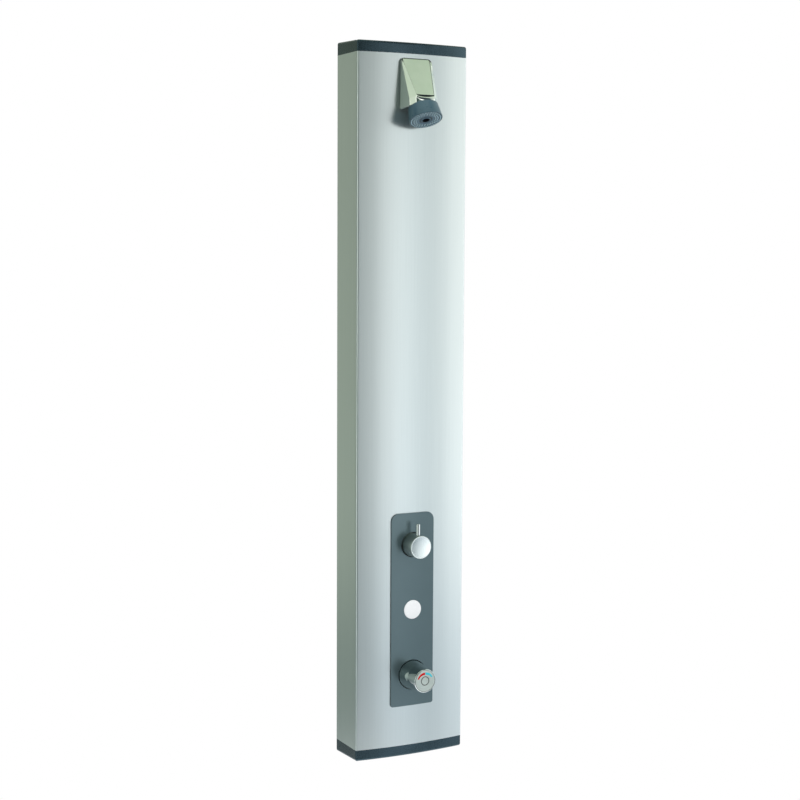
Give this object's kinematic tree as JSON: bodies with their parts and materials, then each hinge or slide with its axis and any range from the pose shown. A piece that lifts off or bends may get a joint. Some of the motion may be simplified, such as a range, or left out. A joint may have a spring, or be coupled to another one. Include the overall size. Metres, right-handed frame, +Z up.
{
  "type": "shower panel column",
  "caption": "Tall wall-hung shower panel: aluminium casing with dark end caps, tilted spray head, lever flow knob, white push button and thermostat knob.",
  "frame": {"origin": "on the wall plane, at the middle of the four wall screw holes, which is the middle of the column's height and width", "axes": "+Z up along the column, +Y into the wall, +X to the right as seen by the user"},
  "size_m": [0.202, 0.147, 1.2],
  "materials": {
    "brushed_aluminium": "satin brushed",
    "cap_plastic": "fine moulded texture",
    "slate_plate": "satin lacquer",
    "seal_rubber": "matt",
    "zinc_steel": "bright zinc",
    "sheet_steel": "galvanised",
    "raw_brass": "machined",
    "copper_tube": "drawn copper",
    "plated_nut": "nickel plated",
    "valve_plastic": "natural moulded",
    "stop_red": "moulded",
    "ceramic_disc": "lapped",
    "satin_metal": "satin chrome",
    "knob_chrome": "bright chrome",
    "white_plastic": "gloss",
    "black_plastic": "moulded",
    "plunger_steel": "ground",
    "box_plastic": "moulded",
    "board_green": "lacquered",
    "battery_wrap": "shrink wrap",
    "bracket_chrome": "bright chrome on a casting",
    "inset_satin": "satin",
    "spray_plastic": "moulded",
    "spray_rubber": "silicone",
    "regulator_blue": "moulded",
    "dark_steel": "blackened"
  },
  "bodies": {
    "root": {"casing": "brushed_aluminium", "top_cap": "cap_plastic", "bottom_cap": "cap_plastic", "cap_screws": "zinc_steel", "upper_bracket": "sheet_steel", "lower_bracket": "sheet_steel", "fascia": "slate_plate", "fascia_gasket": "seal_rubber", "fascia_nuts": "zinc_steel", "valve_plate": "sheet_steel", "plate_screws": "zinc_steel", "pipe_brackets": "sheet_steel", "inlet_elbows": "raw_brass", "inlet_cartridges": "valve_plastic", "supply_pipes": "copper_tube", "link_pipes": "copper_tube", "riser_pipe": "copper_tube", "pipe_nuts": "plated_nut", "mixer_body": "raw_brass", "thermo_cartridge": "valve_plastic", "thermo_spring": "zinc_steel", "stop_ring": "stop_red", "valve_nuts": "plated_nut", "flow_body": "raw_brass", "flow_cartridge": "valve_plastic", "flow_seat_disc": "ceramic_disc", "button_housing": "black_plastic", "button_spring": "zinc_steel", "button_switch": "black_plastic", "button_screws": "zinc_steel", "solenoid_body": "valve_plastic", "solenoid_coil": "black_plastic", "solenoid_spring": "zinc_steel", "control_box": "box_plastic", "control_lid": "box_plastic", "circuit_board": "board_green", "battery_block": "battery_wrap", "box_glands": "black_plastic", "head_bracket": "bracket_chrome", "head_inset": "inset_satin", "head_gasket": "seal_rubber", "head_elbow": "raw_brass", "head_nut": "plated_nut", "head_screws": "zinc_steel", "flow_regulator": "regulator_blue", "spray_cup": "spray_plastic", "spray_face": "spray_rubber", "spray_screw": "dark_steel"},
    "flow_control": {"flow_knob": "satin_metal", "flow_pin": "knob_chrome", "flow_spindle": "raw_brass", "flow_turn_disc": "ceramic_disc"},
    "thermostat": {"thermo_knob": "knob_chrome", "thermo_face": "satin_metal", "thermo_cap": "knob_chrome", "thermo_screw": "zinc_steel", "thermo_spindle": "raw_brass"},
    "thermo_shuttle": {"thermo_shuttle": "valve_plastic"},
    "button": {"button_cap": "white_plastic"},
    "plunger": {"solenoid_plunger": "plunger_steel"}
  },
  "joints": [
    {"name": "flow_turn", "type": "hinge", "parent": "root", "child": "flow_control", "pos_m": [0, -0.1, -0.234], "axis": [0, -1, 0], "range_deg": [0, 90]},
    {"name": "thermo_turn", "type": "hinge", "parent": "root", "child": "thermostat", "pos_m": [0, -0.1, -0.457], "axis": [0, -1, 0], "range_deg": [-70, 70]},
    {"name": "shuttle_slide", "type": "slide", "parent": "root", "child": "thermo_shuttle", "axis": [0, -1, 0], "range_m": [-0.0008, 0.0008], "deforming": ["thermo_spring"]},
    {"name": "button_press", "type": "slide", "parent": "root", "child": "button", "axis": [0, 1, 0], "range_m": [0, 0.001], "stiffness_N_per_m": 900, "springref_m": -0.001, "deforming": ["button_spring"]},
    {"name": "plunger_lift", "type": "slide", "parent": "root", "child": "plunger", "axis": [0, -1, 0], "range_m": [0, 0.002], "stiffness_N_per_m": 300, "springref_m": -0.002, "deforming": ["solenoid_spring"]}
  ],
  "couplings": [
    {"joint": "shuttle_slide", "follows": "thermo_turn", "m_per_rad": 0.00063662}
  ]
}
